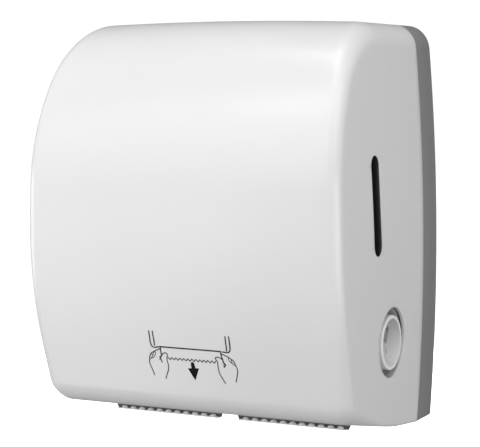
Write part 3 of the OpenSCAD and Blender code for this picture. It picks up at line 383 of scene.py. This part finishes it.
def toned(name, rough, tones, first, *others):
    """Moulded plastic with painted shade and light: greys over a first distance field, then others, each with its
    blend and tones.
    """
    mat, nodes, links, shader = base_material(name, (tones[-1][1],) * 3, rough)
    color = greys(nodes, links, distance_field(nodes, links, **first), tones)
    for blend, layer_tones, field in others:
        layer = greys(nodes, links, distance_field(nodes, links, **field), layer_tones)
        mix = nodes.new("ShaderNodeMix")
        mix.data_type = "RGBA"
        mix.blend_type = blend
        mix.inputs["Factor"].default_value = 1.0
        links.new(color, mix.inputs["A"])
        links.new(layer, mix.inputs["B"])
        color = mix.outputs["Result"]
    links.new(color, shader.inputs["Base Color"])
    patches = noise(nodes, links, scale=60.0, detail=4.0)
    links.new(spread(nodes, links, patches, rough - 0.04, rough + 0.04), shader.inputs["Roughness"])
    bump(nodes, links, shader, noise(nodes, links, scale=1400.0, detail=2.0), distance=1e-5)
    return mat


def smoked(name, color):
    """Dark clear plate, nearly without reflection, with a slow wave in its face."""
    mat, nodes, links, shader = base_material(name, color, rough=0.2, specular=0.02)
    patches = noise(nodes, links, scale=40.0, detail=3.0)
    links.new(spread(nodes, links, patches, 0.18, 0.28), shader.inputs["Roughness"])
    bump(nodes, links, shader, noise(nodes, links, scale=30.0, detail=1.0), distance=1e-4, strength=0.15)
    return mat


def ink(name, color):
    mat, nodes, links, shader = base_material(name, color, rough=0.6, specular=0.12)
    specks = noise(nodes, links, scale=400.0, detail=3.0)
    pale = tuple(c * 1.3 + 0.002 for c in color)
    links.new(mottle(nodes, links, specks, scaled(color, 0.7), pale), shader.inputs["Base Color"])
    return mat


COVER = plastic("cover_white", (0.80, 0.80, 0.80), 0.2, vary=0.008, grain=1100.0, depth=1e-5, rough_vary=0.02)
CASE = plastic("case_grey", (0.24, 0.24, 0.243), 0.5, vary=0.03, grain=1300.0, depth=3e-5)
CHASSIS = plastic("chassis_white", (0.70, 0.70, 0.685), 0.45, vary=0.02)
# The hub cup's grey is painted shade: darker than the white wheel so that the deep channel round the feed wheel
# reads as shaded
HUB_PAINTED_SHADE = plastic("hub_painted_shade", (0.36, 0.365, 0.37), 0.42, vary=0.03)
# Near-black of the comb plate is painted shade: the plate is white plastic lying in the shadow under the chin
COMB_PAINTED_SHADE = plastic("comb_painted_shade", (0.07, 0.07, 0.07), 0.6, vary=0.05)
STEEL = metal("steel", (0.62, 0.62, 0.63), 0.3, stretch=(0.08, 1, 1))
BLADE = metal("blade_steel", (0.72, 0.72, 0.74), 0.22, stretch=(0.1, 1, 1))
PLATED = metal("plated", (0.78, 0.78, 0.79), 0.16)
BRONZE = metal("bronze", (0.52, 0.36, 0.18), 0.42)
RUBBER = rubber("rubber", (0.045, 0.045, 0.047))
LENS = smoked("smoked_lens", (0.003, 0.003, 0.0034))
INK = ink("print_black", (0.004, 0.004, 0.004))
INK_GREY = ink("print_grey", (0.05, 0.05, 0.052))

# Feed wheel with painted shade and light: darker towards the top of its dish and dark in the finger scoop as
# painted shade, and light on the rim as a painted highlight
DISH_UP, SCOOP_OUT, SCOOP_UP = 20.0, 1.0, 6.5
SCOOP_CENTRE = place(0, DRUM[0] + SCOOP_OUT, DRUM[1] + SCOOP_UP)
DISH_SHADE_FIELD = dict(centre=place(0, DRUM[0], DRUM[1] + DISH_UP), stretch=(0, 0, 1), near=0.0, far=0.040)
SCOOP_SHADE_FIELD = dict(centre=SCOOP_CENTRE, stretch=(0, 1, 0.4), near=0.0020, far=0.0040)
RIM_HIGHLIGHT_FIELD = dict(centre=place(0, *DRUM), stretch=(0, 1, 1), near=0.0, far=0.0225)
WHEEL_PAINTED_SHADE = toned("wheel_painted_shade", 0.3, [(0.0, 0.40), (0.9, 0.66)], DISH_SHADE_FIELD,
              ("MULTIPLY", [(0.0, 0.38), (0.4, 0.45), (0.75, 1.0)], SCOOP_SHADE_FIELD),
              ("LIGHTEN", [(0.94, 0.0), (0.98, 0.94)], RIM_HIGHLIGHT_FIELD))

FINISH = {"cover": COVER, "case": CASE, "lens": LENS, "chassis": CHASSIS, "hub": HUB_PAINTED_SHADE, "steel": STEEL,
          "lock": PLATED, "bronze": BRONZE, "rubber": RUBBER}
OWN_FINISH = {"cutter_blade": BLADE, "feed_wheel": WHEEL_PAINTED_SHADE}

# CAD nodes: material and small edge roundings
WELD_GAP, ROUNDING = 1e-6, 0.00035
ROUND_ABOVE, SPLIT_ABOVE = 40.0, 32.0


def finish_node(obj, material):
    obj.data.materials.clear()
    obj.data.materials.append(material)
    obj.data.shade_smooth()
    weld = obj.modifiers.new("weld", "WELD")
    weld.merge_threshold = WELD_GAP
    rounding = obj.modifiers.new("rounding", "BEVEL")
    rounding.width = ROUNDING
    rounding.segments = 2
    rounding.limit_method = "ANGLE"
    rounding.angle_limit = math.radians(ROUND_ABOVE)
    rounding.harden_normals = False
    split = obj.modifiers.new("split", "EDGE_SPLIT")
    split.split_angle = math.radians(SPLIT_ABOVE)


for subpart in frame["record"]["subparts"]:
    node = subpart["node"]
    finish_node(frame["nodes"][node], OWN_FINISH.get(node) or FINISH[subpart["material_slot"]])

# Front cover
FILLET_STEPS, WIDTH_STEPS, DEPTH_STEPS = 14, 40, 24
OFF_MIDDLE = 1e-9  # keeps the middle column off the points of the lock's hole on that line
CUT_ROUNDING, CUT_ANGLE = 0.5, 50.0


def cover_columns():
    """Places across a row as (share of the way to a side's fillet, angle round it), from left to right."""
    right = [(1.0, math.pi / 2 * k / FILLET_STEPS) for k in range(FILLET_STEPS + 1)]
    columns = [(-share, angle) for share, angle in reversed(right)]
    columns += [(2 * k / WIDTH_STEPS - 1 or OFF_MIDDLE, 0.0) for k in range(1, WIDTH_STEPS)]
    return columns + right


def add_skin(verts, faces, rows, columns, inset, inward):
    """Adds one face of the moulding, inset from the outer one, and returns the rim of its open back."""
    grid = []
    for row in rows:
        grid.append(range(len(verts), len(verts) + len(columns)))
        verts += [skin(row, share, angle, inset) for share, angle in columns]
    last = len(rows) - 1
    sides = {1: [], -1: []}
    for sign, strips in sides.items():
        for i, row in enumerate(rows):
            edge = grid[i][-1 if sign > 0 else 0]
            strip = [edge] * (DEPTH_STEPS + 1)
            if 0 < i < last:
                depth = row[0] - row[2] * edge_radius(row)
                height = row[1] - row[3] * edge_radius(row)
                for k in range(1, DEPTH_STEPS + 1):
                    strip[k] = len(verts)
                    reached = depth + (PARTING - depth) * k / DEPTH_STEPS
                    verts.append(formed(sign * (HALF_W - inset), reached, height))
            strips.append(strip)
    quads = []
    for i in range(last):
        for j in range(len(columns) - 1):
            quads.append((grid[i][j], grid[i][j + 1], grid[i + 1][j + 1], grid[i + 1][j]))
        for k in range(DEPTH_STEPS):
            a, b = sides[1][i], sides[1][i + 1]
            quads.append((a[k], a[k + 1], b[k + 1], b[k]))
            a, b = sides[-1][i], sides[-1][i + 1]
            quads.append((a[k + 1], a[k], b[k], b[k + 1]))
    for quad in quads:
        face = tuple(dict.fromkeys(quad))
        if len(face) > 2:
            faces.append(tuple(reversed(face)) if inward else face)
    rim = list(grid[0]) + [sides[1][i][-1] for i in range(1, last)]
    return rim + list(reversed(grid[-1])) + [sides[-1][i][-1] for i in range(last - 1, 0, -1)]


def cover_shell():
    rows, columns = profile(turn_step=2.5, stretch=5.0), cover_columns()
    verts, faces = [], []
    outer = add_skin(verts, faces, rows, columns, 0.0, inward=False)
    inner = add_skin(verts, faces, rows, columns, WALL, inward=True)
    for k in range(len(outer)):
        after = (k + 1) % len(outer)
        faces.append((outer[after], outer[k], inner[k], inner[after]))
    return mesh_from("cover_shell", verts, faces)


def cover_cutters():
    side, top = HALF_W + PAST, HEIGHT + PAST
    exit_outline = [(-EXIT["half"], EXIT["rear"]), (EXIT["half"], EXIT["rear"]),
                    (EXIT["half"], EXIT["front"]), (-EXIT["half"], EXIT["front"])]
    return [
        prism(slot(**WINDOW), side_place, HALF_W - WINDOW_REACH, side),
        prism(circle(DRUM, RECESS_RADIUS, ROUND_STEPS), side_place, HALF_W - RECESS_REACH, side),
        prism(circle((0, LOCK[0]), LOCK_RADIUS, SMALL_ROUND_STEPS), place, HEIGHT - LOCK_REACH, top),
        prism(exit_outline, place, -PAST, EXIT["top"]),
        prism(circle(HINGE, HINGE_RADIUS, ROUND_STEPS), side_place, -side, side),
    ]


cover = new_object("cover_moulding", cover_shell())
combine(cover, cover_cutters(), "DIFFERENCE")
bevel_edges(cover, CUT_ROUNDING, CUT_ANGLE)
soften(cover)
cover.data.materials.append(COVER)
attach(cover, "cover")
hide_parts("front_cover")

# Exit combs: a ledge with domed lugs in front of a plate painted dark as shade
LUG_COUNT, LUG_HALF, LUG_DEPTH, LUG_RISE, LUG_SINK = 11, 3.3, 2.75, 2.2, 0.2
LUG_RINGS, LUG_STEPS = 7, 28
COMB_DROP, COMB_SLANT = 0.9, 2.7
LEDGE, LEDGE_LAP, LEDGE_ROUNDING, LEDGE_ANGLE = 1.1, 0.5, 0.35, 40.0
FACE_SLACK = 0.05


def dome(x, depth, height):
    """Upper half of a rounded lug, sunk a little into what it stands on."""
    foot = place(x, depth, height)
    turns = [2 * math.pi * j / LUG_STEPS for j in range(LUG_STEPS)]
    tilts = [math.pi / 2 * i / LUG_RINGS for i in range(LUG_RINGS)]
    levels = [(1.0, -LUG_SINK)] + [(math.cos(t), LUG_RISE * math.sin(t)) for t in tilts]
    verts = [foot + Vector((r * LUG_HALF * math.cos(a), r * LUG_DEPTH * math.sin(a), rise)) / 1000
             for r, rise in levels for a in turns]
    verts.append(foot + Vector((0, 0, LUG_RISE)) / 1000)
    faces = [tuple(reversed(range(LUG_STEPS)))]
    for i in range(LUG_RINGS):
        for j in range(LUG_STEPS):
            p, q = i * LUG_STEPS + j, i * LUG_STEPS + (j + 1) % LUG_STEPS
            faces.append((p, q, q + LUG_STEPS, p + LUG_STEPS))
    last = LUG_RINGS * LUG_STEPS
    faces += [(last + j, last + (j + 1) % LUG_STEPS, len(verts) - 1) for j in range(LUG_STEPS)]
    return new_object("lug", mesh_from("lug", verts, faces))


def comb(side):
    node = "exit_comb_" + side
    low, high = (Vector(corner) * 1000 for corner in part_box(node))
    middle, half = (low.x + high.x) / 2, (high.x - low.x) / 2
    foot, top, bottom = half - COMB_SLANT, high.z + HALF_H, low.z + HALF_H - COMB_DROP
    rear, front = -high.y, -low.y
    face, ledge_top = front - LUG_DEPTH, bottom + LEDGE

    obj = prism([(-foot, bottom), (foot, bottom), (half, top), (-half, top)],
                lambda x, z, d: place(middle + x, d, z), rear, face)
    lap = face - LEDGE_LAP
    ledge = prism([(lap, bottom), (front, bottom), (front, ledge_top), (lap, ledge_top)],
                  lambda d, z, x: place(middle + x, d, z), -foot, foot)
    bevel_edges(ledge, LEDGE_ROUNDING, LEDGE_ANGLE)
    pitch = 2 * half / (LUG_COUNT + 1)
    lugs = [dome(middle + (k - (LUG_COUNT - 1) / 2) * pitch, face, ledge_top) for k in range(LUG_COUNT)]
    combine(obj, [ledge] + lugs, "UNION")
    obj.name = obj.data.name = "comb_" + side
    soften(obj)
    obj.data.materials.clear()
    for material in (COVER, COMB_PAINTED_SHADE):
        obj.data.materials.append(material)
    # Faces at or behind the plate's front get the painted shade, the ledge and lugs the white moulding
    for polygon in obj.data.polygons:
        polygon.material_index = int(-polygon.center.y * 1000 < face + FACE_SLACK)
    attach(obj, "cover")
    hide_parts(node)


for side in ("left", "right"):
    comb(side)

# Printed sign on the front: two hands, the towel between them and an arrow, in millimetres across and up
PRINT_LIFT, PRINT_STEP, CURVE_STEPS = 0.06, 1.2, 6
THIN, FINE, BOLD, EDGE = 0.75, 1.0, 1.25, 1.375
CUT_LEFT, CUT_LENGTH, CUT_TEETH, CUT_LOW, CUT_HIGH = -17.8, 48, 12, 76.8, 79


def printed(name, verts, faces, material):
    obj = new_object(name, mesh_from(name, verts, faces))
    obj.data.materials.append(material)
    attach(obj, "cover")


def ribbon(name, points, width, material):
    """Strip of ink along a line, laid on the front."""
    dense = []
    for a, b in zip(points, points[1:]):
        parts = max(1, math.ceil((b - a).length / PRINT_STEP))
        dense += [a + (b - a) * k / parts for k in range(parts)]
    dense.append(points[-1])
    last = len(dense) - 1
    verts = []
    for k, p in enumerate(dense):
        along = (dense[min(k + 1, last)] - dense[max(k - 1, 0)]).normalized()
        aside = Vector((-along.y, along.x)) * width / 2
        verts += [front_point(q.x, q.y, PRINT_LIFT) for q in (p + aside, p - aside)]
    printed(name, verts, [(2 * k, 2 * k + 1, 2 * k + 3, 2 * k + 2) for k in range(last)], material)


def curve(points):
    """Smooth line through the points."""
    ends = [2 * points[0] - points[1]] + points + [2 * points[-1] - points[-2]]
    out = []
    for a, b, c, d in zip(ends, ends[1:], ends[2:], ends[3:]):
        for s in range(CURVE_STEPS):
            t = s / CURVE_STEPS
            bend = (2 * a - 5 * b + 4 * c - d) * t * t + (3 * b - a - 3 * c + d) * t ** 3
            out.append(0.5 * (2 * b + (c - a) * t + bend))
    return out + [points[-1]]


def stroke(name, points, width=FINE, smooth=True):
    line = [Vector(p) for p in points]
    ribbon("sign_" + name, curve(line) if smooth else line, width, INK_GREY)


stroke("bracket_left", [(-33.6, 103), (-33.5, 97), (-33.5, 91.9), (-32.6, 88.7), (-30, 87.5),
                        (-25.1, 88.2)], BOLD)
stroke("bracket_left_inner", [(-29.9, 103), (-29.8, 98), (-29.6, 92.6), (-29.7, 89.2)], BOLD)
stroke("bracket_right", [(46.1, 103), (46.2, 97), (46, 91.6), (45, 89), (42.9, 87.8), (37.5, 88.1)], BOLD)
stroke("bracket_right_inner", [(42.5, 102.9), (42.4, 97.4), (42.5, 92.4), (42.3, 88.8)], BOLD)
stroke("towel_edge", [(-25, 88.4), (36.7, 88.3)], EDGE, smooth=False)
stroke("cut_edge", [(CUT_LEFT + CUT_LENGTH * k / (2 * CUT_TEETH), CUT_LOW if k % 2 else CUT_HIGH)
                    for k in range(2 * CUT_TEETH + 1)], smooth=False)
stroke("fold_left", [(-24, 87.9), (-24.2, 84.8), (-24.2, 82.3), (-24, 80.4), (-25.4, 78), (-25, 75.6),
                     (-24.4, 73.4)], BOLD)
stroke("fold_left_upper", [(-26.8, 78.4), (-25.3, 78.9)], smooth=False)
stroke("fold_left_lower", [(-27, 76.4), (-25.4, 76.9)], smooth=False)
stroke("fingers_left", [(-24.4, 86.7), (-27.5, 85.3), (-31.4, 83.4), (-34.6, 81.3), (-36.3, 78.3),
                        (-37.5, 73.4), (-37.2, 70.3), (-35.9, 66.5), (-34.2, 60.7)])
stroke("knuckle_left_first", [(-31.4, 83.4), (-29.7, 82.5), (-30.7, 80), (-32.4, 78), (-34.2, 76.8)], THIN)
stroke("knuckle_left_second", [(-34.2, 81.5), (-33.5, 79.6), (-34.6, 77.3), (-36.1, 75.8)], THIN)
stroke("knuckle_left_third", [(-31.2, 83.3), (-32.2, 81.1), (-33.6, 79.6)], THIN)
stroke("thumb_left", [(-24, 80.4), (-22, 82.2), (-20.1, 82.9), (-18.3, 82.3), (-18.1, 80.6), (-18.9, 77.9),
                      (-19.1, 75.3), (-18.6, 71.4), (-19.3, 67), (-21.2, 62.9), (-23.3, 58.1)])
stroke("fold_right", [(36.2, 87.9), (36.2, 85.1), (36.6, 82.6), (37.3, 80.3), (37.7, 78.3), (39.2, 76),
                      (37.2, 73.6)], BOLD)
stroke("fold_right_upper", [(36.6, 78.2), (37.9, 78.6)], smooth=False)
stroke("fold_right_lower", [(36.9, 75.8), (38.6, 76.5)], smooth=False)
stroke("fingers_right", [(36.4, 86.2), (39.7, 85), (43, 83.6), (45.4, 82), (47.8, 80.1), (49, 76.8),
                         (50.2, 73.5), (50.3, 70.1), (48.7, 64.8), (47.3, 60.4)])
stroke("knuckle_right_first", [(42.8, 83.5), (43.4, 80.6), (44.9, 78.8), (46.3, 77.9)], THIN)
stroke("knuckle_right_second", [(45.6, 81.8), (45.8, 79.1), (47, 77), (48.5, 76.2)], THIN)
stroke("knuckle_right_third", [(44.9, 82.1), (46.9, 81.2), (48, 79.4)], THIN)
stroke("thumb_right", [(37, 80.4), (35.6, 81.7), (33.5, 82.6), (31.3, 82.7), (30.2, 81.6), (30.6, 79.9),
                       (31.6, 78.7), (31.7, 76.3), (31.6, 72), (32.2, 67.7), (33.8, 64), (36.8, 58.2)])
ARROW = [(4.5, 74.4), (5.0, 75.8), (6.2, 76.3), (7.5, 75.9), (8.1, 74.6), (8.5, 70.6), (12.1, 70.6),
         (6.6, 58.9), (0.9, 69.9), (4.6, 70.2)]
arrow_points = [front_point(x, height, PRINT_LIFT) for x, height in ARROW]
printed("sign_arrow", arrow_points, [tuple(reversed(range(len(ARROW))))], INK)

# Stage: a pale floor that only the camera sees
FLOOR_HALF, FLOOR_HEIGHT = 9, -0.52


def pale_floor():
    mat, nodes, links, shader = base_material("floor_pale", (0.9, 0.9, 0.9), rough=0.8)
    patches = noise(nodes, links, scale=3.0, detail=2.0)
    glow = mottle(nodes, links, patches, (0.99, 0.99, 0.99), (1.0, 1.0, 1.0))
    links.new(glow, shader.inputs["Emission Color"])
    shader.inputs["Emission Strength"].default_value = 1.0
    corners = [(-1, -1), (1, -1), (1, 1), (-1, 1)]
    verts = [(x * FLOOR_HALF, y * FLOOR_HALF, FLOOR_HEIGHT) for x, y in corners]
    obj = new_object("floor", mesh_from("floor", verts, [(0, 1, 2, 3)]))
    obj.data.materials.append(mat)
    obj.visible_diffuse = obj.visible_glossy = obj.visible_shadow = False
    return obj


floor = pale_floor()

# Light and camera, in metres, with the lens and its sensor in millimetres
SKY_LOW, SKY_HIGH, SKY_TURN = 0.23, 0.15, 0.25
BACKDROP = 1.05
MIDDLE = (0, -0.12, 0.0)
LENS_LENGTH, SENSOR = 124.63, 36.0
CLIP_NEAR, CLIP_FAR = 0.05, 50.0
EYE, EYE_DOWN, EYE_TURN = (0.6829, -1.5192, 0.1351), 4.91, 25.94


def studio_world():
    """Light from a pale surround, dimmer above, and white where the camera sees past the object."""
    world = bpy.data.worlds.new("studio")
    bpy.context.scene.world = world
    world.use_nodes = True
    nodes, links = world.node_tree.nodes, world.node_tree.links
    surround = nodes["Background"]
    surround.inputs["Strength"].default_value = 1.0
    coord = nodes.new("ShaderNodeTexCoord")
    axes = nodes.new("ShaderNodeSeparateXYZ")
    sky = nodes.new("ShaderNodeValToRGB")
    low, high = sky.color_ramp.elements
    low.position, high.position = 0.0, SKY_TURN
    low.color, high.color = (SKY_LOW, SKY_LOW, SKY_LOW, 1), (SKY_HIGH, SKY_HIGH, SKY_HIGH, 1)
    links.new(coord.outputs["Generated"], axes.inputs["Vector"])
    links.new(axes.outputs["Z"], sky.inputs["Fac"])
    links.new(sky.outputs["Color"], surround.inputs["Color"])
    white = nodes.new("ShaderNodeBackground")
    white.inputs["Color"].default_value = (1, 1, 1, 1)
    white.inputs["Strength"].default_value = BACKDROP
    path = nodes.new("ShaderNodeLightPath")
    mix = nodes.new("ShaderNodeMixShader")
    links.new(path.outputs["Is Camera Ray"], mix.inputs["Fac"])
    links.new(surround.outputs["Background"], mix.inputs[1])
    links.new(white.outputs["Background"], mix.inputs[2])
    links.new(mix.outputs["Shader"], nodes["World Output"].inputs["Surface"])


def area_light(name, at, size, power, target=MIDDLE, roll=0.0):
    """Rectangular light of a size across and up, in watts, facing its target and rolled by some degrees."""
    data = bpy.data.lights.new(name, "AREA")
    data.shape = "RECTANGLE"
    data.size, data.size_y = size
    data.energy = power
    obj = new_object(name, data)
    obj.location = at
    facing = (Vector(target) - Vector(at)).to_track_quat("-Z", "Y").to_matrix()
    obj.rotation_euler = (facing @ Matrix.Rotation(math.radians(roll), 3, "Z")).to_euler()


def photo_camera():
    data = bpy.data.cameras.new("camera")
    data.lens, data.sensor_width, data.sensor_fit = LENS_LENGTH, SENSOR, "HORIZONTAL"
    data.clip_start, data.clip_end = CLIP_NEAR, CLIP_FAR
    obj = new_object("camera", data)
    obj.location = EYE
    obj.rotation_euler = (math.radians(90 - EYE_DOWN), 0, math.radians(EYE_TURN))
    bpy.context.scene.camera = obj


studio_world()
area_light("softbox", (-1.12, -2.0, 0.85), size=(1.4, 6.62), power=45, target=(-1.12, 0.0, 0.85), roll=-18)
area_light("left", (-2.2, -1.0, -0.3), size=(1.6, 0.9), power=13)
area_light("left_high", (-2.6, -0.9, 0.6), size=(2.4, 2.4), power=11)
area_light("front_high", (0.8, -1.7, 2.1), size=(2.0, 1.5), power=14)
area_light("right", (2.6, -1.0, -0.3), size=(2.6, 1.2), power=27)
area_light("edge", (1.2, -2.2, 0.0), size=(0.4, 2.4), power=3)
area_light("right_high", (2.0, -0.9, 1.6), size=(1.2, 1.2), power=9)
area_light("top", (0.1, -0.4, 2.2), size=(1.6, 1.2), power=17.5)
area_light("bounce", (0.2, -1.3, -0.5), size=(2.2, 1.2), power=1.6, target=(0.2, -1.0, 1.0))
area_light("glint", (-0.416, -1.123, 1.048), size=(0.06, 0.3), power=0.3, target=(0.123, -0.229, 0.115))
area_light("back", (-0.6, 2.4, -0.1), size=(1.4, 0.7), power=12)
photo_camera()
bpy.context.scene.view_settings.view_transform = "Standard"
